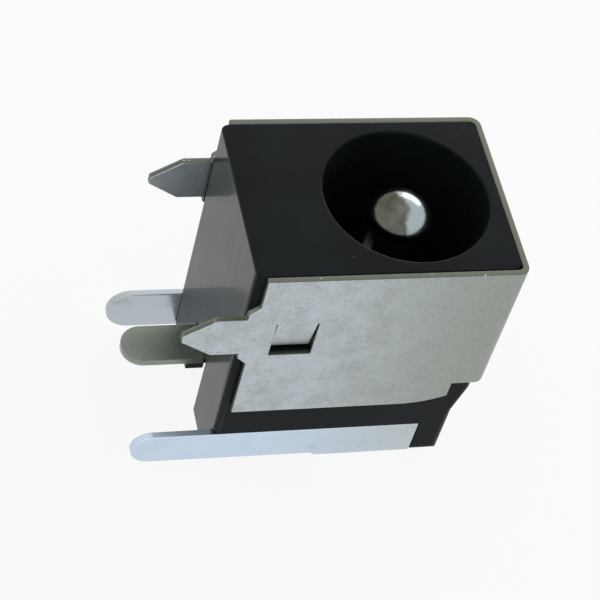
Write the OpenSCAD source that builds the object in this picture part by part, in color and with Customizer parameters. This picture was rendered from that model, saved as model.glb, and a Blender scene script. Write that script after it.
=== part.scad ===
// Board-mount DC barrel jack: a moulded housing in a folded sheet shield, with a riveted centre pin,
// a sleeve spring and a switch terminal.
// Millimetres. Z is up, away from the board; the board lies at Z 0. The socket opens towards -Y.
// The origin is on the housing's board face, on its middle plane and on the line of the shield's legs.

/* [Housing] */
// Width of the housing
housing_w = 7.3; // [6.6:0.1:9.2]
// Height of the front block over the board
housing_h = 10; // [9.8:0.1:12.5]
// Depth from the front face to the rear face
housing_d = 11.6; // [10.8:0.1:14.5]
// How far the roof steps down behind the shield
roof_drop = 0.35; // [0.1:0.05:0.4]
// Length of the ramp in the roof
roof_ramp = 1.5; // [0.8:0.1:2]
// How far the ramp starts in front of the shield's rear edge
ramp_lead = 0.4; // [0:0.1:0.8]
// Radius of the rear corners
rear_corner_r = 0.45; // [0.2:0.05:0.8]
// Radius of the long edges on the board side
edge_r = 0.3; // [0.1:0.05:0.5]
// Radius of the long edges on the roof
roof_edge_r = 0.35; // [0.3:0.05:0.7]
// Height of the notches in the sides
notch_h = 0.8; // [0.5:0.1:1.2]
// Height of the notches' lower ends over the board
notch_z = 2.5; // [2:0.1:3.5]
// Depth of the notches in the sides
notch_depth = 0.4; // [0.2:0.05:0.5]

/* [Socket] */
// Diameter of the socket's mouth
socket_d = 6.3; // [5.8:0.1:6.5]
// Diameter of the socket's inner length
socket_inner_d = 5.7; // [5.6:0.1:5.8]
// Depth of the wide mouth
mouth_depth = 5.8; // [3:0.1:6.5]
// Depth of the whole socket
socket_depth = 9.2; // [8.4:0.1:9.4]
// Height of the socket's axis over the board
axis_h = 6.4; // [6.3:0.05:6.6]
// Width of the chamfer round the mouth
mouth_chamfer = 0.06; // [0.05:0.01:0.2]

/* [Centre pin] */
// Diameter of the contact pin
pin_d = 2.5; // [2:0.05:2.5]
// Height of the pin's domed tip
dome_h = 0.7; // [0.5:0.05:1]
// Diameter of the shank behind the shoulder
shank_d = 1.5; // [1.2:0.05:1.5]
// How far the pin's tip stays behind the front face
tip_setback = 0.3; // [0.1:0.05:1.5]
// Diameter of the flared rivet head
rivet_d = 3.2; // [2.6:0.1:3.6]
// Thickness of the rivet head's thin rim
rivet_rim_t = 0.12; // [0.08:0.02:0.2]
// Radius of the ring that the tail is rolled into
rivet_roll_r = 0.28; // [0.2:0.02:0.35]
// Distance of the rolled ring's middle from the pin's axis
rivet_ring_r = 1.1; // [1:0.05:1.2]
// Depth of the funnel behind the rear plate's outer face
funnel_depth = 0.35; // [0.2:0.05:0.6]
// Diameter of the hollow in the tail
hollow_d = 0.95; // [0.6:0.05:1]
// Depth of the hollow in the tail
hollow_depth = 1.6; // [1:0.1:2.2]

/* [Sheet metal] */
// Thickness of the shield's sheet
shield_t = 0.25; // [0.2:0.05:0.3]
// Thickness of the terminals' sheet
terminal_t = 0.3; // [0.25:0.05:0.35]
// Outer radius of the shield's two long bends
shield_bend_r = 0.45; // [0.35:0.05:0.6]
// Inner radius of the terminals' bends
terminal_bend_r = 0.2; // [0.1:0.05:0.3]

/* [Shield] */
// Depth of the shield, from the front face back
shield_d = 7.8; // [7:0.1:8.4]
// Height of the shield's board-side edge over the board
shield_edge_h = 0.38; // [0.2:0.02:0.8]
// Distance of the legs' centre line behind the front face
leg_y = 3.1; // [2.6:0.1:4]
// Width of each pointed leg
leg_w = 2; // [1.4:0.1:2.2]
// Width of the shoulder that each leg stands on
shoulder_w = 2.5; // [2.3:0.1:3.8]
// Length of a leg under the board face
leg_l = 2.25; // [1.8:0.05:3]
// Length of the leg's pointed end
leg_point = 1.2; // [0.8:0.1:1.4]
// Width of the blunt end of the point
leg_blunt = 0.35; // [0.2:0.05:0.6]
// Depth of the notch at the shield's rear corner, along the part's depth
corner_notch_d = 1.2; // [0.6:0.1:1.6]
// Reach of that notch down the side
corner_notch_h = 1.35; // [0.8:0.05:1.8]
// Reach of that notch into the roof
corner_notch_w = 1.2; // [0.9:0.1:1.6]
// Radius of the side's swept rear edge next to that notch
sweep_r = 4.5; // [4:0.5:8]
// Height of the swept edge
sweep_h = 1.9; // [1:0.1:2.2]
// Width of the latch window along the depth
latch_w = 1.8; // [1.2:0.05:2]
// Height of the latch window
latch_h = 1.6; // [1:0.1:1.8]
// Height of the window's lower edge over the board
latch_z = 1.15; // [1:0.05:1.8]
// Width of the slit behind the latch tab
latch_slit = 0.25; // [0.2:0.05:0.6]
// Angle that the latch tab is pressed inwards
latch_angle = 9; // [6:1:12]

/* [Terminals] */
// Width of the pin terminal's long leg
pin_leg_w = 1.6; // [1.2:0.1:1.8]
// Length of the pin terminal's leg under the board
pin_leg_l = 3.1; // [2:0.1:4]
// Height of the rear plate's lower edge
plate_z = 4.4; // [4.3:0.05:4.6]
// Height of the rear plate
plate_h = 4; // [3.6:0.1:4.2]
// Distance of the plate's free edge from the middle plane
plate_reach = 2.25; // [1.9:0.05:2.6]
// Radius of the plate's free corners
plate_corner_r = 0.35; // [0.2:0.05:0.6]
// How far the plate stands proud of the rear face
plate_proud = 0.1; // [0:0.05:0.2]
// Width of the switch terminal's leg
switch_leg_w = 2; // [1.6:0.1:2.1]
// Length of the switch terminal's leg under the board
switch_leg_l = 3; // [2:0.1:4]
// Height of the switch plate's raised middle, on its board side
switch_z = 3.05; // [3:0.05:3.1]
// Width of the switch plate's raised middle
switch_mid_w = 3.5; // [3:0.1:3.8]
// How far the raised middle is joggled out of the plate
switch_joggle = 0.28; // [0.15:0.01:0.3]
// Width of the spring's leg
spring_leg_w = 1.7; // [1.4:0.1:1.9]
// Length of the spring's leg under the board
spring_leg_l = 3.2; // [2:0.1:4]
// Width of the spring's leaf
spring_leaf_w = 2; // [1.6:0.1:2.1]
// Width of the spring's tail
spring_tail_w = 2.75; // [2.2:0.05:3]
// Distance of the tail's end from the rear face
spring_tail_setback = 0.6; // [0.4:0.1:1]
// Radius of the spring's U-turn, to the middle of its sheet
spring_turn_r = 0.55; // [0.45:0.05:0.6]
// Distance of the contact bump's top from the socket's axis
bump_reach = 2.55; // [2.4:0.05:2.7]

/* [Rear cavity] */
// Thickness of the wall between the cavity and the switch leg
cavity_wall_left = 0.45; // [0.35:0.05:0.7]
// Thickness of the wall between the cavity and the pin leg
cavity_wall_right = 0.8; // [0.6:0.05:1]
// Thickness of the floor on the cavity's board side
cavity_floor = 0.75; // [0.55:0.05:0.9]
// Width of the slot in the floor that the spring's leg leaves by
floor_slot_w = 2; // [1.9:0.05:2.3]
// Depth of the cavity, from the rear face forwards
cavity_d = 3.2; // [3:0.1:3.4]

/* [Clearances] */
// Gap between the housing and the shield
shield_gap = 0.02; // [0.01:0.01:0.05]
// Gap round the terminals in their grooves
terminal_gap = 0.03; // [0.01:0.01:0.06]
// Gap round the pin's shank
shank_gap = 0.01; // [0:0.01:0.03]

/* [Hidden] */
$fn = 64;
cut = 1;                                  // how far a cutting shape runs past the face it opens
front_y = -leg_y;
rear_y = front_y + housing_d;
roof_rear_h = housing_h - roof_drop;
ramp_y = front_y + shield_d - ramp_lead;  // where the ramp starts
ramp_angle = atan(roof_drop / roof_ramp);
notch_lap = 0.25;                         // how far the side notches show behind the shield
notch_under = 0.8;                        // how far they run forwards under it
floor_y = front_y + socket_depth;         // the socket's floor
half_w = housing_w / 2;
side_x = half_w + shield_gap;             // the shield's inner faces
shield_top = housing_h + shield_gap + shield_t;
plate_y = rear_y + plate_proud;           // the rear plate's outer face
groove_x = half_w - terminal_t;           // floor of both terminal grooves
latch_middle = 0.25;                      // middle of the latch windows, behind the legs' centre line
latch_y = latch_middle - latch_w / 2;     // their front edge
latch_pocket = 0.45;                      // depth of the housing's latch pockets
leg_proud = 0.02;                         // how far the side legs stand out of their grooves
slot_end = 0.3;                           // how far the switch plate runs into the +X wall
lance_gap = 0.03;                         // cut line beside a latch tab
cavity_y = rear_y - cavity_d;
cavity_left = -(groove_x - cavity_wall_left);
cavity_right = groove_x - cavity_wall_right;
cavity_top = switch_z + terminal_t + switch_joggle + terminal_gap;
spring_y = cavity_y + terminal_gap + terminal_t / 2;   // middle of the spring leg's sheet
base_z = cavity_floor + terminal_gap + terminal_t / 2; // middle of the spring's base strip
bend_relief = 0.8 * terminal_bend_r;
channel_w = spring_leaf_w + 0.2;
channel_front = front_y + 1.3;
channel_top = axis_h - socket_inner_d / 2 + 0.4;       // the channel breaks into the socket
leg_outer_x = half_w + leg_proud;         // outer faces of the two side legs
pin_leg_y = plate_y - terminal_t - terminal_bend_r - pin_leg_w;
switch_y = rear_y + 0.1 - switch_leg_w;   // front edge of the switch terminal
switch_end_x = cavity_right + slot_end - terminal_gap;

// Points of an arc, from angle a0 to a1.
function arc(c, r, a0, a1, n = 10) =
    [for (i = [0:n]) c + r * [cos(a0 + (a1 - a0) * i / n), sin(a0 + (a1 - a0) * i / n)]];

// Unit vector from a to b.
function toward(a, b) = (b - a) / norm(b - a);

// Sideways direction of a path at point i: the mean of the directions before and after it.
function side_at(p, i) =
    let (a = toward(p[max(i - 1, 0)], p[max(i - 1, 0) + 1]), b = toward(p[min(i, len(p) - 2)], p[min(i, len(p) - 2) + 1]),
         m = (a + b) / norm(a + b))
    [-m[1], m[0]] / max(m * b, 0.5);

// A path at height s over its sheet's middle line.
function beside(p, s) = [for (i = [0:len(p) - 1]) p[i] + s * side_at(p, i)];

// Outline of a sheet of thickness t that is bent along a path.
function strip_outline(p, t) = concat(beside(p, t / 2), [for (i = [len(p) - 1:-1:0]) beside(p, -t / 2)[i]]);

// A profile drawn in Y and Z, w wide and centred on the middle plane.
module across(w) {
    rotate([90, 0, 90]) linear_extrude(w, center = true) children();
}

// A profile drawn in X and Z, from y0 to y1.
module along(y0, y1) {
    translate([0, y1, 0]) rotate([90, 0, 0]) linear_extrude(y1 - y0) children();
}

// A rectangle from lo to hi with round corners, of radius r below and r_top above.
module round_rect(lo, hi, r, r_top = undef) {
    for (end = [[lo[1], r, 1], [hi[1], is_undef(r_top) ? r : r_top, -1]]) {
        inner = end[0] + end[2] * end[1];
        middle = (lo[1] + hi[1]) / 2;
        translate([lo[0], min(inner, middle)]) square([hi[0] - lo[0], abs(middle - inner)]);
        translate([lo[0] + end[1], min(end[0], middle)])
            square([hi[0] - lo[0] - 2 * end[1], abs(middle - end[0])]);
        for (x = [lo[0] + end[1], hi[0] - end[1]]) translate([x, inner]) circle(end[1]);
    }
}

// A flat leg, w wide, from z down to a full round tip at -l.
module round_leg(w, l, z) {
    translate([-w / 2, w / 2 - l]) square([w, z + l - w / 2]);
    translate([0, w / 2 - l]) circle(w / 2);
}

// A box from one corner to the other.
module block(lo, hi) {
    translate(lo) cube(hi - lo);
}

// ---- housing ----

// The moulding's section at a given roof height, from depth under the board face up.
module body_section(h, depth = 0) {
    round_rect([-half_w, -depth], [half_w, h], edge_r, roof_edge_r);
}

// The rear block, with its roof edge round at the rear face.
module rear_block() {
    intersection() {
        along(front_y, rear_y) body_section(roof_rear_h);
        across(housing_w) round_rect([front_y - cut, -cut], [rear_y, roof_rear_h], edge_r, rear_corner_r);
    }
}

// A prism whose roof is the ramp; it ends inside the rear block.
module ramp_block() {
    reach = roof_ramp / cos(ramp_angle) + 0.5;
    translate([0, ramp_y, housing_h]) rotate([-ramp_angle, 0, 0]) translate([0, 0, -housing_h])
        along(-2 * housing_d, reach) body_section(housing_h, housing_d);
}

// The prism under the high roof, cut down to the ramp or the rear block, so that the round long
// edges meet in mitres. The rear corners are round.
module housing_block() {
    intersection() {
        along(front_y, rear_y) body_section(housing_h);
        union() {
            rear_block();
            ramp_block();
        }
        linear_extrude(housing_h) round_rect([-half_w, front_y - cut], [half_w, rear_y], edge_r, rear_corner_r);
    }
}

// The stepped socket, with a chamfered mouth.
module socket_cut() {
    translate([0, front_y, axis_h]) rotate([-90, 0, 0]) {
        translate([0, 0, -cut]) cylinder(h = cut + mouth_depth, d = socket_d);
        cylinder(h = socket_depth, d = socket_inner_d);
        translate([0, 0, -mouth_chamfer])
            cylinder(h = 2 * mouth_chamfer, d1 = socket_d + 4 * mouth_chamfer, d2 = socket_d);
    }
}

// The channel under the socket that the spring lies in; it breaks into the socket from below.
module spring_channel() {
    block([-channel_w / 2, channel_front, cavity_floor], [channel_w / 2, cavity_y + cut, channel_top]);
}

// The cavity behind the spring: open to the rear, with a slot through its floor.
module rear_cavity() {
    block([cavity_left, cavity_y, cavity_floor], [cavity_right, rear_y + cut, cavity_top]);
    block([-floor_slot_w / 2, cavity_y + cut / 2, -cut], [floor_slot_w / 2, rear_y + cut, cavity_floor + cut]);
    // the slot's front edge is taken off under the spring's bend
    across(floor_slot_w) polygon([[cavity_y + cut, -cut], [cavity_y + cut, cavity_floor + cut],
        [cavity_y - bend_relief - cut, cavity_floor + cut], [cavity_y - bend_relief, cavity_floor],
        [cavity_y, cavity_floor - bend_relief], [cavity_y, -cut]]);
}

// Grooves of the two side legs, the switch plate's two slots and the seat of the rear plate.
module terminal_seats() {
    slot_top = cavity_top;
    slot_bottom = slot_top - terminal_t - 2 * terminal_gap;
    // groove and slot of the switch terminal
    block([-half_w - cut, switch_y - terminal_gap, -cut], [-groove_x, rear_y + cut, slot_top]);
    block([-half_w, switch_y - terminal_gap, slot_bottom - terminal_bend_r], [cavity_left + cut, rear_y + cut, slot_top]);
    block([cavity_right - cut, switch_y - terminal_gap, slot_bottom], [cavity_right + slot_end, rear_y + cut, slot_top]);
    // groove of the pin terminal's leg
    block([groove_x, pin_leg_y - terminal_gap, -cut], [half_w + cut, rear_y + cut, plate_z + plate_h / 2]);
    // seat of the rear plate, open to +X, with its corner taken off under the bend
    translate([0, 0, plate_z - terminal_gap]) linear_extrude(plate_h + 2 * terminal_gap)
        polygon([[-plate_reach - terminal_gap, plate_y - terminal_t], [groove_x - bend_relief, plate_y - terminal_t],
                 [groove_x, plate_y - terminal_t - bend_relief], [groove_x, pin_leg_y - terminal_gap],
                 [half_w + cut, pin_leg_y - terminal_gap], [half_w + cut, rear_y + cut],
                 [-plate_reach - terminal_gap, rear_y + cut]]);
}

// Pockets that the shield's latch tabs are pressed into, and the notches under its rear edge.
module side_pockets() {
    notch_end = front_y + shield_d + notch_lap;
    for (s = [-1, 1]) {
        translate([s * half_w - latch_pocket, latch_y, latch_z]) cube([2 * latch_pocket, latch_w, latch_h]);
        translate([s * half_w - notch_depth, notch_end - notch_lap - notch_under, notch_z])
            cube([2 * notch_depth, notch_lap + notch_under, notch_h]);
    }
}

module housing() {
    color([0.13, 0.14, 0.15]) difference() {
        housing_block();
        socket_cut();
        spring_channel();
        rear_cavity();
        terminal_seats();
        side_pockets();
        // hole of the pin's shank
        translate([0, floor_y - cut, axis_h]) rotate([-90, 0, 0])
            cylinder(h = housing_d, d = shank_d + 2 * shank_gap);
    }
}

// ---- shield ----

// The folded section: two sides and a roof with bent corners.
module shield_section() {
    difference() {
        round_rect([-side_x - shield_t, -leg_l - cut], [side_x + shield_t, shield_top], shield_bend_r);
        round_rect([-side_x, -leg_l - 2 * cut], [side_x, shield_top - shield_t], shield_bend_r - shield_t);
    }
}

// What the +X rear corner lacks: a notch over the bend, and under it the swept end of the side's rear edge.
module corner_notch() {
    rear = front_y + shield_d;
    notch_y = rear - corner_notch_d;
    notch_bottom = shield_top - corner_notch_h;
    along(notch_y, rear + cut) {
        translate([side_x - corner_notch_w, notch_bottom]) square([corner_notch_w + cut, corner_notch_h + cut]);
    }
    // the sweep starts square to the edge and ends at the notch
    translate([side_x + shield_t / 2, 0, 0]) across(2 * shield_t)
        polygon(concat(arc([rear - sweep_r, notch_bottom - sweep_h], sweep_r, 0, asin(sweep_h / sweep_r)),
                       [[rear + cut, notch_bottom], [rear + cut, notch_bottom - sweep_h]]));
}

// One side seen flat: the panel, the shoulder and the pointed leg.
module shield_side() {
    translate([front_y, shield_edge_h]) square([shield_d, shield_top - shield_edge_h]);
    polygon([[-shoulder_w / 2 - shield_edge_h, shield_edge_h], [-shoulder_w / 2, 0], [-leg_w / 2, 0],
             [-leg_w / 2, -leg_l + leg_point], [-leg_blunt / 2, -leg_l],
             [leg_blunt / 2, -leg_l], [leg_w / 2, -leg_l + leg_point],
             [leg_w / 2, 0], [shoulder_w / 2, 0], [shoulder_w / 2 + shield_edge_h, shield_edge_h]]);
}

// The tab that is lanced out of the side; it hangs on its front edge and is pressed inwards.
module latch_tab(s) {
    translate([s * (side_x + shield_t), latch_y, latch_z + lance_gap]) rotate([0, 0, s * latch_angle])
        translate([s > 0 ? -shield_t : 0, 0, 0]) cube([shield_t, latch_w - latch_slit, latch_h - 2 * lance_gap]);
}

module shield() {
    color([0.78, 0.79, 0.78]) {
        difference() {
            intersection() {
                along(front_y, front_y + shield_d) shield_section();
                across(housing_w + 2) shield_side();
            }
            for (s = [-1, 1])
                translate([s * side_x - cut, latch_y, latch_z]) cube([2 * cut, latch_w, latch_h]);
            corner_notch();
        }
        for (s = [-1, 1]) latch_tab(s);
    }
}

// ---- centre pin ----

// The tail's head, over the rear plate: a thin rim, a rolled ring on it, and the body inside the ring.
module rivet_head() {
    cylinder(h = rivet_rim_t, d = rivet_d);
    intersection() {
        translate([0, 0, rivet_rim_t]) rotate_extrude() translate([rivet_ring_r, 0]) circle(rivet_roll_r);
        cylinder(h = rivet_rim_t + 2 * rivet_roll_r, d = rivet_d);
    }
}

module centre_pin() {
    tip_y = front_y + tip_setback;
    shoulder = floor_y - tip_y;
    tail = plate_y - tip_y;               // the outer face of the rear plate
    dome_r = (pow(pin_d / 2, 2) + pow(dome_h, 2)) / (2 * dome_h);
    mouth_r = rivet_ring_r - rivet_roll_r;
    color([0.75, 0.74, 0.68]) translate([0, tip_y, axis_h]) rotate([-90, 0, 0]) difference() {
        union() {
            intersection() {
                translate([0, 0, dome_r]) sphere(r = dome_r);
                cylinder(h = dome_h, d = pin_d);
            }
            translate([0, 0, dome_h]) cylinder(h = shoulder - dome_h, d = pin_d);
            cylinder(h = tail + rivet_rim_t / 2, d = shank_d);
            translate([0, 0, tail]) rivet_head();
        }
        translate([0, 0, tail + rivet_rim_t - hollow_depth]) cylinder(h = hollow_depth + cut, d = hollow_d);
        translate([0, 0, tail - funnel_depth])
            cylinder(h = funnel_depth + rivet_rim_t, r1 = hollow_d / 2, r2 = mouth_r);
    }
}

// ---- pin terminal ----

module pin_terminal() {
    outer = leg_outer_x;
    r = terminal_bend_r + terminal_t;
    color([0.8, 0.81, 0.8]) difference() {
        union() {
            intersection() {
                translate([0, 0, plate_z]) linear_extrude(plate_h) {
                    translate([-plate_reach, plate_y - terminal_t]) square([plate_reach + outer - r, terminal_t]);
                    intersection() {
                        translate([outer - r, plate_y - r]) difference() {
                            circle(r);
                            circle(terminal_bend_r);
                        }
                        translate([outer - r, plate_y - r]) square(r);
                    }
                    translate([outer - terminal_t, pin_leg_y]) square([terminal_t, plate_y - r - pin_leg_y]);
                }
                along(pin_leg_y - cut, plate_y + cut) {
                    round_rect([-plate_reach, plate_z], [half_w, plate_z + plate_h], plate_corner_r);
                    translate([0, plate_z]) square([housing_w, plate_h]);
                }
            }
            translate([outer - terminal_t / 2, pin_leg_y + pin_leg_w / 2, 0])
                across(terminal_t) round_leg(pin_leg_w, pin_leg_l, plate_z + plate_h);
        }
        translate([0, rear_y - cut, axis_h]) rotate([-90, 0, 0])
            cylinder(h = 2 * cut + terminal_t, d = shank_d + 2 * shank_gap);
    }
}

// ---- switch terminal ----

// Its path in X and Z: up the leg, round the corner, along the flange, over the raised middle, to the far flange.
module switch_terminal() {
    x = -(leg_outer_x - terminal_t / 2);
    r = terminal_bend_r + terminal_t / 2;
    mid = switch_z + terminal_t / 2;
    flange = mid + switch_joggle;
    step = switch_mid_w / 2;
    run = switch_joggle / 2;
    path = concat([[x, -switch_leg_l]], arc([x + r, flange - r], r, 180, 90),
                  [[-step - run, flange], [-step + run, mid], [step - run, mid], [step + run, flange],
                   [switch_end_x, flange]]);
    color([0.8, 0.81, 0.8]) intersection() {
        along(switch_y, switch_y + switch_leg_w) polygon(strip_outline(path, terminal_t));
        translate([0, switch_y + switch_leg_w / 2, 0])
            across(housing_w + 2) round_leg(switch_leg_w, switch_leg_l, housing_h);
    }
}

// ---- sleeve spring ----

// Its paths in Y and Z. The leg and base: up from the board, forwards under the socket, round the U-turn.
// The leaf: back over the base, up to the bump in the socket, down to the tail under the switch plate.
module sleeve_spring() {
    r = terminal_bend_r + terminal_t / 2;
    turn_y = channel_front + spring_turn_r + terminal_t;
    leaf_z = base_z + 2 * spring_turn_r;
    top_z = axis_h - bump_reach - terminal_t / 2;
    tail_z = switch_z - terminal_t / 2;
    tail_end = rear_y - spring_tail_setback;
    rise_y = turn_y + 1.2;                // the leaf runs level up to here
    crest = 0.55;                         // the bump's top, as a share of the way from there to the tail
    steps = 12;
    leg_path = concat([[spring_y, -spring_leg_l]], arc([spring_y - r, base_z - r], r, 0, 90),
                      arc([turn_y, base_z + spring_turn_r], spring_turn_r, 270, 90, 16));
    leaf_path = concat([[turn_y, leaf_z], [(turn_y + rise_y) / 2, leaf_z]],
                       [for (i = [0:steps]) let (u = i / steps) [rise_y + (spring_y - rise_y) * u,
                           u < crest ? leaf_z + (top_z - leaf_z) * (1 - cos(180 * u / crest)) / 2
                                     : tail_z + (top_z - tail_z) * (1 + cos(180 * (u - crest) / (1 - crest))) / 2]],
                       [[tail_end, tail_z]]);
    color([0.8, 0.8, 0.76]) {
        intersection() {
            across(spring_leg_w) polygon(strip_outline(leg_path, terminal_t));
            along(front_y, rear_y) round_leg(spring_leg_w, spring_leg_l, axis_h);
        }
        across(spring_leaf_w) polygon(strip_outline(leaf_path, terminal_t));
        translate([-spring_tail_w / 2, spring_y + terminal_t, tail_z - terminal_t / 2])
            cube([spring_tail_w, tail_end - spring_y - terminal_t, terminal_t]);
    }
}

housing();
shield();
centre_pin();
pin_terminal();
sleeve_spring();
switch_terminal();
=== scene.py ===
"""Looks of a board-mount DC barrel jack: black moulding, folded tinned shield, turned pin and folded terminals.

Everything is in metres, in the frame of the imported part: Z up away from the board, the socket opening towards -Y.
"""

from __future__ import annotations

import logging
import math
from dataclasses import dataclass, field
from enum import Enum
from typing import Sequence, Union

import bmesh
import bpy
from mathutils import Matrix, Vector


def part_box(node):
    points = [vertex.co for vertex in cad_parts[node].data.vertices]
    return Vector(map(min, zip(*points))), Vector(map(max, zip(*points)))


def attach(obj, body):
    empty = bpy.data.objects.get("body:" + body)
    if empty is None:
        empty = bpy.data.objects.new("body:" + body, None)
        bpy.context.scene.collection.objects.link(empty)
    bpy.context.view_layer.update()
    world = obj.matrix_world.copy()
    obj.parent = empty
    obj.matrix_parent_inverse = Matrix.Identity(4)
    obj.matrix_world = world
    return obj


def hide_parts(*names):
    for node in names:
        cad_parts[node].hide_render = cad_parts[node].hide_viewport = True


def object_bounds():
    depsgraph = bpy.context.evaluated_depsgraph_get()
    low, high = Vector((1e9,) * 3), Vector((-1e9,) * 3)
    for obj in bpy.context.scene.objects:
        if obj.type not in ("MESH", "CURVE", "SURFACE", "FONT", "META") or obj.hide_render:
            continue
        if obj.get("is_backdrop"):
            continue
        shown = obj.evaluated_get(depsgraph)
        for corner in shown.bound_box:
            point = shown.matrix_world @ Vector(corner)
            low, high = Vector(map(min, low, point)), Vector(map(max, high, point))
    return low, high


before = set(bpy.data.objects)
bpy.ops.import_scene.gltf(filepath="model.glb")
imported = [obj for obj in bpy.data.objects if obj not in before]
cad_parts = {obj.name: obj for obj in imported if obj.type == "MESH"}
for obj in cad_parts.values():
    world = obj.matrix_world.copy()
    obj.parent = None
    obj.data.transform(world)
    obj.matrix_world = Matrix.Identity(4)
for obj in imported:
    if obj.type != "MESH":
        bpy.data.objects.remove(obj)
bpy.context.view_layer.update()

LOG = logging.getLogger("jack")
MM = 0.001
WELD = 0.0005 * MM
FLAT_DEG = 0.5
SMOOTH_DEG = 32
HAIR = 0.01 * MM
BODY = "root"
Number = Union[int, float]
Colour = tuple[float, float, float]


# ---- shader maths ----


class Mask:
    """A socket of a node tree that takes part in sums as a number does."""

    def __init__(self, shade: "Shade", socket: bpy.types.NodeSocket) -> None:
        """Wraps a socket of the tree that shade builds."""
        self.shade = shade
        self.socket = socket

    def _with(self, operation: str, *others: Union["Mask", Number], swap: bool = False) -> "Mask":
        """Adds a Math node.

        Args:
            operation: the Math node's operation.
            others: the further operands.
            swap: True where this value is the second operand.

        Returns:
            The node's result.
        """
        inputs = [self, *others]
        if swap:
            inputs.reverse()
        return self.shade.node("ShaderNodeMath", {"operation": operation}, dict(enumerate(inputs)))

    def __add__(self, other: Union["Mask", Number]) -> "Mask":
        """self + other"""
        return self._with("ADD", other)

    def __sub__(self, other: Union["Mask", Number]) -> "Mask":
        """self - other"""
        return self._with("SUBTRACT", other)

    def __rsub__(self, other: Union["Mask", Number]) -> "Mask":
        """other - self"""
        return self._with("SUBTRACT", other, swap=True)

    def __mul__(self, other: Union["Mask", Number]) -> "Mask":
        """self * other"""
        return self._with("MULTIPLY", other)

    __radd__ = __add__
    __rmul__ = __mul__

    def over(self, low: Number, high: Number) -> "Mask":
        """A smooth step of this value: 0 at low, 1 at high. low may be the greater one."""
        swapped = low > high
        ends = (high, low) if swapped else (low, high)
        step = self.shade.node(
            "ShaderNodeMapRange",
            {"interpolation_type": "SMOOTHSTEP"},
            {"Value": self, "From Min": ends[0], "From Max": ends[1]},
        )
        return 1 - step if swapped else step

    def size(self) -> "Mask":
        """This value without its sign."""
        return self._with("ABSOLUTE")

    def greater(self, other: Union["Mask", Number]) -> "Mask":
        """The greater of the two."""
        return self._with("MAXIMUM", other)


Input = Union[Mask, Number, Sequence[float]]


class Shade:
    """Builds one material's node tree round a Principled shader."""

    def __init__(self, name: str) -> None:
        """Starts an empty material of that name."""
        self.material = bpy.data.materials.new(name)
        self.material.use_nodes = True
        self.tree = self.material.node_tree
        self.tree.nodes.clear()
        self.place = self.node("ShaderNodeTexCoord", out="Object")

    def node(
        self,
        kind: str,
        settings: dict | None = None,
        inputs: dict | None = None,
        out: Union[int, str] = 0,
    ) -> Mask:
        """Adds any node.

        Args:
            kind: the node's type.
            settings: its properties, which are set first.
            inputs: a value or a link for each socket, by name or number.
            out: the output that is wanted.

        Returns:
            That output.
        """
        made = self.tree.nodes.new(kind)
        for key, value in (settings or {}).items():
            setattr(made, key, value)
        for key, value in (inputs or {}).items():
            if isinstance(value, Mask):
                self.tree.links.new(value.socket, made.inputs[key])
            else:
                made.inputs[key].default_value = value
        return Mask(self, made.outputs[out])

    def noise(self, size_mm: float, detail: float = 3.0, stretch: Colour = (1, 1, 1), rough: float = 0.5) -> Mask:
        """Noise with cells of about size_mm, drawn out by stretch along X, Y and Z."""
        scale = [1.0 / axis for axis in stretch]
        spot = self.node("ShaderNodeMapping", None, {"Vector": self.place, "Scale": scale})
        inputs = {"Vector": spot, "Scale": 1 / (size_mm * MM), "Detail": detail, "Roughness": rough}
        return self.node("ShaderNodeTexNoise", {"noise_dimensions": "3D"}, inputs)

    def cells(self, size_mm: float) -> Mask:
        """The distance to the middle of cells of about size_mm."""
        inputs = {"Vector": self.place, "Scale": 1 / (size_mm * MM)}
        return self.node("ShaderNodeTexVoronoi", {"feature": "F1"}, inputs, "Distance")

    def axis(self, letter: str) -> Mask:
        """The place along X, Y or Z, in millimetres."""
        return self.node("ShaderNodeSeparateXYZ", None, {"Vector": self.place}, letter) * (1 / MM)

    def facing(self, letter: str) -> Mask:
        """How far the surface faces along X, Y or Z, from -1 to 1, whatever way the part is turned."""
        normal = self.node("ShaderNodeTexCoord", out="Normal")
        return self.node("ShaderNodeSeparateXYZ", None, {"Vector": normal}, letter)

    def blend(self, factor: Input, first: Input, second: Input) -> Mask:
        """Mixes two colours."""
        first, second = (
            c if isinstance(c, Mask) else (*c, 1.0) if len(c) == 3 else c for c in (first, second)
        )
        return self.node("ShaderNodeMix", {"data_type": "RGBA"}, {"Factor": factor, 6: first, 7: second}, 2)

    def bump(self, height: Mask, depth_mm: float, strength: float) -> Mask:
        """A normal bent by a height from 0 to 1 that stands for depth_mm."""
        return self.node("ShaderNodeBump", None, {"Height": height, "Distance": depth_mm * MM, "Strength": strength})

    def close(self, **sockets: Input) -> bpy.types.Material:
        """Adds the Principled shader with those sockets and links it to the output.

        Args:
            sockets: its sockets, with _ for each space in a name.

        Returns:
            The material.
        """
        values = {key.replace("_", " "): value for key, value in sockets.items()}
        surface = self.node("ShaderNodeBsdfPrincipled", None, values, "BSDF")
        self.node_out(surface)
        return self.material

    def node_out(self, surface: Mask) -> None:
        """Links a shader to the material's output."""
        output = self.tree.nodes.new("ShaderNodeOutputMaterial")
        self.tree.links.new(surface.socket, output.inputs["Surface"])


# ---- finishes ----


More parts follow.
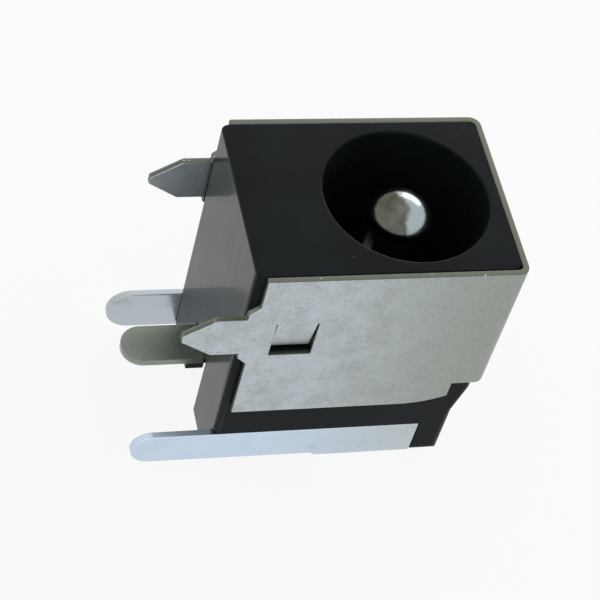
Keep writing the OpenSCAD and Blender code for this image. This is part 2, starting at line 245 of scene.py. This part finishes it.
@dataclass(frozen=True)
class MouldedPlastic:
    """Black moulding: polished on the board face, finely textured elsewhere, with a little dust and wear."""

    name: str = "moulded_black"
    body: Colour = (0.0068, 0.0092, 0.0098)
    haze: Colour = (0.0110, 0.0142, 0.0150)
    dust: Colour = (0.14, 0.14, 0.12)
    texture: float = 0.42
    polish: float = 0.10
    polish_tint: Colour = (0.95, 0.97, 0.90)
    polish_share: float = 0.42
    shine: float = 0.06
    board_face_mm: float = 0.03
    cloud_mm: float = 2.6
    flow_mm: float = 0.5
    grain_mm: float = 0.09
    speck_mm: float = 0.6
    relief_mm: float = 0.006

    def make(self) -> bpy.types.Material:
        """Builds the material."""
        shade = Shade(self.name)
        polished = shade.axis("Z").over(self.board_face_mm * 2, self.board_face_mm)
        cloud = shade.noise(self.cloud_mm, 4)
        grain = shade.noise(self.grain_mm, 2)
        flow = shade.noise(self.flow_mm, 3, stretch=(1, 6, 1))
        specks = shade.cells(self.speck_mm).over(0.07, 0.04) * shade.noise(1.7, 2).over(0.56, 0.62)
        tone = shade.blend(cloud.over(0.35, 0.75), self.body, self.haze)
        height = grain * (1 - polished * 0.9) + flow * 0.4 + specks * 0.8
        return shade.close(
            Base_Color=shade.blend(specks * 0.7, tone, self.dust),
            Roughness=self.texture + (cloud - 0.5) * 0.16 + (flow - 0.5) * 0.1 + specks * 0.3,
            Specular_IOR_Level=self.shine,
            IOR=1.5,
            Coat_Weight=polished * self.polish_share,
            Coat_Roughness=self.polish,
            Coat_Tint=(*self.polish_tint, 1.0),
            Normal=shade.bump(height, self.relief_mm, 0.4),
        )


@dataclass(frozen=True)
class TinPlate:
    """Matt tin on sheet steel: a fine speckle, small dark pits and stains, painted shade darkening it towards the
    roof, and dull steel on the sheared edges with painted glints.
    """

    name: str = "tin_plate"
    cool: Colour = (0.485, 0.54, 0.575)
    roof_shade_olive: Colour = (0.31, 0.345, 0.305)
    dull: Colour = (0.34, 0.35, 0.33)
    pit: Colour = (0.15, 0.15, 0.12)
    sheared: Colour = (0.13, 0.14, 0.11)
    glint: Colour = (0.75, 0.76, 0.72)
    rough: float = 0.38
    low_mm: float = 2.0
    high_mm: float = 9.8
    cloud_mm: float = 0.9
    speckle_mm: float = 0.17
    stain_mm: float = 0.5
    pit_mm: float = 0.5
    glint_mm: float = 0.22
    relief_mm: float = 0.006

    def make(self) -> bpy.types.Material:
        """Builds the material."""
        shade = Shade(self.name)
        cloud = shade.noise(self.cloud_mm, 5, rough=0.65)
        speckle = shade.noise(self.speckle_mm, 4, rough=0.8)
        rolled = shade.noise(0.1, 3, stretch=(1, 12, 1))
        stains = shade.noise(self.stain_mm, 4, rough=0.6).over(0.66, 0.74)
        pits = shade.cells(self.pit_mm).over(0.07, 0.035) * shade.noise(0.9, 3).over(0.5, 0.62)
        edge = shade.facing("Y").size().greater(0 - shade.facing("Z")).over(0.4, 0.85)
        # painted highlight: bright glints painted in patches along the sheared edges
        painted_glints = shade.noise(self.glint_mm, 3).over(0.68, 0.74)
        # painted shade: from the cool tone near the board the tin is painted darker and more olive towards the roof,
        # between low_mm and high_mm
        tone = shade.blend(shade.axis("Z").over(self.low_mm, self.high_mm), self.cool, self.roof_shade_olive)
        tone = shade.blend(cloud.over(0.35, 0.75) * 0.6, tone, self.dull)
        tone = shade.blend(speckle.over(0.50, 0.72) * 0.42, tone, self.pit)
        tone = shade.blend(stains * 0.3, tone, self.pit)
        tone = shade.blend(pits * 0.6, tone, self.pit)
        # the sheared edges' dull steel, with painted highlights on it
        sheared_steel_and_glints = shade.blend(painted_glints * 0.6, self.sheared, self.glint)
        height = speckle * 0.7 + cloud * 0.3 + rolled * 0.2 - pits * 0.9
        return shade.close(
            Base_Color=shade.blend(edge, tone, sheared_steel_and_glints),
            Metallic=1.0,
            Roughness=self.rough + (cloud - 0.5) * 0.14 + (speckle - 0.5) * 0.14 + edge * 0.1,
            Normal=shade.bump(height, self.relief_mm, 0.45),
        )


@dataclass(frozen=True)
class TerminalTin:
    """Tin on a terminal: smooth, with soft streaks along the leg, a painted blue sky reflection in its default bright
    colour, and duller away from the tip of the leg.
    """

    name: str = "terminal_tin"
    # painted reflection: the default bright colour is tinted blue for the sky mirrored in the tin
    bright: Colour = (0.57, 0.68, 0.81)
    dull: Colour = (0.48, 0.53, 0.55)
    stain: Colour = (0.26, 0.26, 0.20)
    rough: float = 0.26
    stained: float = 0.12
    low_mm: float = 1.5
    high_mm: float = 8.0
    streak_mm: float = 0.45
    cloud_mm: float = 1.3
    fine_mm: float = 0.07
    patch_mm: float = 0.8
    relief_mm: float = 0.005

    def make(self) -> bpy.types.Material:
        """Builds the material."""
        shade = Shade(self.name)
        streak = shade.noise(self.streak_mm, 4, stretch=(1, 1, 5))
        cloud = shade.noise(self.cloud_mm, 4)
        fine = shade.noise(self.fine_mm, 2)
        patch = shade.noise(self.patch_mm, 4, rough=0.6).over(0.58, 0.72)
        away = shade.axis("Z").over(self.low_mm, self.high_mm)
        tone = shade.blend((away + cloud.over(0.4, 0.8) * 0.3) * 0.8, self.bright, self.dull)
        rough = self.rough + (streak - 0.5) * 0.12 + (fine - 0.5) * 0.08 + patch * 0.08
        return shade.close(
            Base_Color=shade.blend(patch * self.stained, tone, self.stain),
            Metallic=1.0,
            Roughness=rough,
            Normal=shade.bump(streak * 0.6 + fine * 0.3, self.relief_mm, 0.35),
        )


@dataclass(frozen=True)
class TurnedNickel:
    """Nickel on turned brass: fine rings round the axis, a painted dark reflection on the tip's lower half and a
    warmer rolled tail.
    """

    name: str = "turned_nickel"
    bright: Colour = (0.36, 0.42, 0.45)
    warm: Colour = (0.42, 0.41, 0.31)
    dark_reflection: Colour = (0.075, 0.070, 0.042)
    rough: float = 0.16
    ring_mm: float = 0.055
    cloud_mm: float = 0.7
    fine_mm: float = 0.06
    relief_mm: float = 0.003
    axis_mm: float = 6.4
    tip_mm: float = -1.9
    tail_mm: float = 7.0

    def make(self) -> bpy.types.Material:
        """Builds the material."""
        shade = Shade(self.name)
        rings = shade.node(
            "ShaderNodeTexWave",
            {"wave_type": "BANDS", "bands_direction": "Y"},
            {"Vector": shade.place, "Scale": 1 / (self.ring_mm * MM) / math.tau, "Distortion": 1.5, "Detail": 2.0},
            "Fac",
        )
        cloud = shade.noise(self.cloud_mm, 4)
        fine = shade.noise(self.fine_mm, 2)
        # painted reflection: the tip's lower half is painted dark with a ragged edge, standing for the dark socket
        # mirrored in the dome
        ragged = shade.axis("Z") + (cloud - 0.5) * 0.9
        reflected_half = ragged.over(self.axis_mm + 0.15, self.axis_mm - 0.1)
        at_tip = shade.axis("Y").over(self.tip_mm + 0.3, self.tip_mm)
        at_tail = shade.axis("Y").over(self.tail_mm, self.tail_mm + 0.3)
        tone = shade.blend(at_tail.greater(cloud.over(0.55, 0.8) * 0.5), self.bright, self.warm)
        colour = shade.blend(reflected_half * at_tip * (0.5 + cloud * 0.7), tone, self.dark_reflection)
        return shade.close(
            Base_Color=colour,
            Metallic=1.0,
            Roughness=self.rough + (cloud - 0.5) * 0.1 + fine * 0.06,
            Normal=shade.bump(rings * 0.5 + fine * 0.3, self.relief_mm, 0.3),
        )


# ---- pieces ----


class Edge(Enum):
    """How much a piece's sharp edges are broken, in millimetres."""

    SHEARED = 0.045
    FINE = 0.03
    MOULDED = 0.04


@dataclass
class FinishedNode:
    """A CAD node that keeps its place and mesh, with its edges broken by modifiers and its own finish."""

    node: str
    edge: Edge
    material: bpy.types.Material
    clamped: bool = False
    segments: int = 2
    crease_deg: float = 28.0

    def build(self) -> bpy.types.Object:
        """Welds, flattens and bevels the node, and dresses it.

        Returns:
            The node's object.
        """
        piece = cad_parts[self.node]
        weld = piece.modifiers.new("weld", "WELD")
        weld.merge_threshold = WELD
        flat = piece.modifiers.new("flat", "DECIMATE")
        flat.decimate_type = "DISSOLVE"
        flat.angle_limit = math.radians(FLAT_DEG)
        bevel = piece.modifiers.new("edges", "BEVEL")
        bevel.width = self.edge.value * MM
        bevel.segments = self.segments
        bevel.limit_method = "ANGLE"
        bevel.angle_limit = math.radians(self.crease_deg)
        bevel.use_clamp_overlap = self.clamped
        bevel.harden_normals = True
        even = piece.modifiers.new("even", "WEIGHTED_NORMAL")
        even.mode = "FACE_AREA"
        even.weight = 100
        for polygon in piece.data.polygons:
            polygon.use_smooth = True
        piece.data.materials.clear()
        piece.data.materials.append(self.material)
        LOG.info("%s dressed in %s", self.node, self.material.name)
        return piece


@dataclass
class TurnedPin:
    """The centre pin, turned in one piece: domed tip, shank, shoulder and a tail flared over the rear plate."""

    material: bpy.types.Material
    sides: int = 96
    radius: float = 1.25 * MM
    dome: float = 0.7 * MM
    shank: float = 0.75 * MM
    pin_length: float = 8.9 * MM
    rim: float = 0.12 * MM
    roll: float = 0.28 * MM
    ring: float = 1.1 * MM
    hollow: float = 0.475 * MM
    hollow_depth: float = 1.6 * MM
    funnel_depth: float = 0.35 * MM
    low: Vector = field(init=False)
    high: Vector = field(init=False)

    def __post_init__(self) -> None:
        """Reads the pin's ends from the frame."""
        self.low, self.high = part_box("centre_pin")

    @property
    def axis_z(self) -> float:
        """Height of the pin's axis."""
        return (self.low.z + self.high.z) / 2

    def tip_profile(self) -> list[tuple[float, float]]:
        """The low dome and the straight pin behind it, with its edge just broken."""
        tip = self.low.y
        sphere = (self.radius**2 + self.dome**2) / (2 * self.dome)
        last = math.asin(self.radius / sphere) * 0.985
        steps = 16
        angles = [last * i / steps for i in range(steps + 1)]
        cap = [(tip + sphere * (1 - math.cos(a)), sphere * math.sin(a)) for a in angles]
        side = tip + self.dome + 0.03 * MM
        shoulder = tip + self.pin_length
        broken = 0.04 * MM
        return [*cap, (side, self.radius), (shoulder - broken, self.radius), (shoulder, self.radius - broken)]

    def tail_profile(self) -> list[tuple[float, float]]:
        """The rim against the plate, the rolled ring, the funnel and the hollow."""
        tail = self.high.y
        plate = tail - self.rim - self.roll
        flange = (self.high.x - self.low.x) / 2
        half = self.rim / 2
        steps = 8
        rim = [
            (plate + half - half * math.cos(a), flange - half + half * math.sin(a))
            for a in (math.pi * i / steps for i in range(steps + 1))
        ]
        middle = plate + self.rim
        steps = 20
        ring = [
            (middle + self.roll * math.sin(a), self.ring + self.roll * math.cos(a))
            for a in (math.pi * (i + 0.4) / steps for i in range(steps))
        ]
        throat = plate - self.funnel_depth
        floor = middle - self.hollow_depth
        funnel = [
            (middle - HAIR, self.ring - self.roll),
            (plate + 0.02 * MM, self.hollow + 0.21 * MM),
            (plate - 0.08 * MM, self.hollow + 0.11 * MM),
            (throat + 0.05 * MM, self.hollow + 0.03 * MM),
            (throat - 0.05 * MM, self.hollow),
            (floor + 0.1 * MM, self.hollow),
            (floor, self.hollow - 0.1 * MM),
            (floor - 0.05 * MM, 0.0),
        ]
        return [(plate - HAIR, self.shank), *rim, *ring, *funnel]

    def profile(self) -> list[tuple[float, float]]:
        """The half section as pairs of a distance along the axis and a radius, from the tip to the hollow's floor."""
        shoulder = self.low.y + self.pin_length
        return [*self.tip_profile(), (shoulder, self.shank), *self.tail_profile()]

    def build(self) -> bpy.types.Object:
        """Spins the half section round the pin's axis.

        Returns:
            The piece, which stands for the CAD node.
        """
        mesh = bmesh.new()
        points = [mesh.verts.new((0.0, y, self.axis_z + r)) for y, r in self.profile()]
        edges = [mesh.edges.new(pair) for pair in zip(points, points[1:])]
        bmesh.ops.spin(
            mesh,
            geom=[*points, *edges],
            cent=(0, 0, self.axis_z),
            axis=(0, 1, 0),
            angle=math.tau,
            steps=self.sides,
            use_merge=True,
        )
        bmesh.ops.remove_doubles(mesh, verts=mesh.verts, dist=WELD)
        bmesh.ops.recalc_face_normals(mesh, faces=mesh.faces)
        piece = finished_object("turned_pin", mesh, self.material)
        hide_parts("centre_pin")
        return piece


def finished_object(name: str, mesh: bmesh.types.BMesh, material: bpy.types.Material) -> bpy.types.Object:
    """Makes a smooth-shaded piece of a bmesh and lets it ride on the part.

    Args:
        name: the piece's name.
        mesh: its mesh, which is freed.
        material: its finish.

    Returns:
        The piece.
    """
    data = bpy.data.meshes.new(name)
    for face in mesh.faces:
        face.smooth = True
    mesh.to_mesh(data)
    mesh.free()
    data.set_sharp_from_angle(angle=math.radians(SMOOTH_DEG))
    data.materials.append(material)
    piece = bpy.data.objects.new(name, data)
    bpy.context.scene.collection.objects.link(piece)
    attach(piece, BODY)
    LOG.info("%s built with %d faces", name, len(data.polygons))
    return piece


# ---- studio ----


@dataclass
class Lamp:
    """A soft area lamp, aimed at the part."""

    name: str
    direction: Colour
    distance: float
    size: float
    power: float

    def build(self, centre: Vector) -> None:
        """Hangs the lamp, at its distance from centre."""
        data = bpy.data.lights.new(self.name, "AREA")
        data.shape = "SQUARE"
        data.size = self.size
        data.energy = self.power
        lamp = bpy.data.objects.new(self.name, data)
        way = Vector(self.direction).normalized()
        lamp.location = centre + way * self.distance
        lamp.rotation_mode = "QUATERNION"
        lamp.rotation_quaternion = way.to_track_quat("Z", "Y")
        bpy.context.scene.collection.objects.link(lamp)


@dataclass
class Studio:
    """Pale floor behind the part's rear, plain light, white surroundings and the camera."""

    eye: Colour = (46.47 * MM, -56.73 * MM, -18.03 * MM)
    up: Colour = (-0.7936, -0.6071, 0.0397)
    lens: float = 122.0
    sensor_mm: float = 36.0
    floor_colour: Colour = (0.93, 0.93, 0.93)
    floor_half: float = 0.6
    floor_glow: float = 0.9
    sky_colour: Colour = (0.93, 0.96, 1.0)
    sky_strength: float = 0.55
    lamps: tuple[Lamp, ...] = (
        Lamp("key", (-0.9, -0.25, 0.6), 0.16, 0.12, 0.12),
        Lamp("side", (1.0, 0.1, -0.25), 0.18, 0.14, 0.08),
        Lamp("top", (0.2, 0.3, 1.0), 0.18, 0.14, 0.12),
        Lamp("rear", (-0.3, 1.0, 0.3), 0.20, 0.12, 0.10),
    )

    def build(self) -> None:
        """Builds the whole set round the part."""
        low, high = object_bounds()
        centre = (low + high) / 2
        self.world()
        self.floor(high.y)
        for lamp in self.lamps:
            lamp.build(centre)
        self.camera(centre)
        bpy.context.scene.view_settings.view_transform = "Standard"

    def world(self) -> None:
        """White for what is seen directly, in gloss or through glass, and a softer white for the rest."""
        world = bpy.data.worlds.new("surround")
        world.use_nodes = True
        nodes, links = world.node_tree.nodes, world.node_tree.links
        nodes.clear()
        path = nodes.new("ShaderNodeLightPath")
        seen = path.outputs["Is Camera Ray"]
        for ray in ("Is Glossy Ray", "Is Transmission Ray"):
            either = nodes.new("ShaderNodeMath")
            either.operation = "MAXIMUM"
            links.new(seen, either.inputs[0])
            links.new(path.outputs[ray], either.inputs[1])
            seen = either.outputs[0]
        soft = nodes.new("ShaderNodeBackground")
        soft.inputs["Color"].default_value = (*self.sky_colour, 1.0)
        soft.inputs["Strength"].default_value = self.sky_strength
        white = nodes.new("ShaderNodeBackground")
        mix = nodes.new("ShaderNodeMixShader")
        white.inputs["Color"].default_value = (1.0, 1.0, 1.0, 1.0)
        output = nodes.new("ShaderNodeOutputWorld")
        links.new(seen, mix.inputs[0])
        links.new(soft.outputs[0], mix.inputs[1])
        links.new(white.outputs[0], mix.inputs[2])
        links.new(mix.outputs[0], output.inputs["Surface"])
        bpy.context.scene.world = world

    def floor(self, rear: float) -> None:
        """A pale floor that the part's rear stands on, clear from behind.

        Args:
            rear: the part's furthest point along Y.
        """
        mesh = bmesh.new()
        bmesh.ops.create_grid(mesh, x_segments=1, y_segments=1, size=self.floor_half)
        bmesh.ops.rotate(mesh, verts=mesh.verts, matrix=Matrix.Rotation(math.radians(90), 3, "X"))
        bmesh.ops.translate(mesh, verts=mesh.verts, vec=(0, rear + 0.02 * MM, 0))
        data = bpy.data.meshes.new("floor")
        mesh.to_mesh(data)
        mesh.free()
        shade = Shade("pale_floor")
        seen = shade.node("ShaderNodeLightPath", out="Is Camera Ray")
        for ray in ("Is Glossy Ray", "Is Transmission Ray"):
            seen = seen.greater(shade.node("ShaderNodeLightPath", out=ray))
        back = shade.node("ShaderNodeNewGeometry", out="Backfacing")
        pale = shade.node("ShaderNodeBsdfDiffuse", None, {"Color": (*self.floor_colour, 1.0)})
        glow = shade.node("ShaderNodeEmission", None, {"Color": (1, 1, 1, 1)})
        front = shade.node("ShaderNodeMixShader", None, {"Fac": seen * self.floor_glow, 1: pale, 2: glow})
        clear = shade.node("ShaderNodeBsdfTransparent")
        shade.node_out(shade.node("ShaderNodeMixShader", None, {"Fac": back, 1: front, 2: clear}))
        data.materials.append(shade.material)
        floor = bpy.data.objects.new("floor", data)
        bpy.context.scene.collection.objects.link(floor)
        floor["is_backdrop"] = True

    def camera(self, centre: Vector) -> None:
        """Puts the camera at its eye point, aimed at the part and rolled as it was held."""
        data = bpy.data.cameras.new("camera")
        data.lens = self.lens
        data.sensor_width = self.sensor_mm
        data.clip_start, data.clip_end = 0.002, 5.0
        camera = bpy.data.objects.new("camera", data)
        eye = Vector(self.eye)
        back = (eye - centre).normalized()
        right = Vector(self.up).cross(back).normalized()
        camera.matrix_world = Matrix.Translation(eye) @ Matrix((right, back.cross(right), back)).transposed().to_4x4()
        bpy.context.scene.collection.objects.link(camera)
        bpy.context.scene.camera = camera


def main() -> None:
    """Builds every piece and the studio."""
    logging.basicConfig(level=logging.INFO, format="%(name)s: %(message)s")
    FinishedNode("housing", Edge.MOULDED, MouldedPlastic().make(), clamped=True).build()
    FinishedNode("shield", Edge.SHEARED, TinPlate().make()).build()
    FinishedNode("pin_terminal", Edge.SHEARED, TerminalTin().make()).build()
    leg_tin = TerminalTin("switch_tin", bright=(0.47, 0.52, 0.56), dull=(0.40, 0.42, 0.41), stained=0.3)
    FinishedNode("switch_terminal", Edge.SHEARED, leg_tin.make()).build()
    spring_tin = TerminalTin("spring_tin", bright=(0.25, 0.275, 0.235), dull=(0.38, 0.39, 0.35), stained=0.5)
    FinishedNode("sleeve_spring", Edge.FINE, spring_tin.make(), clamped=True).build()
    TurnedPin(TurnedNickel().make()).build()
    Studio().build()


if __name__ == "__main__":
    main()
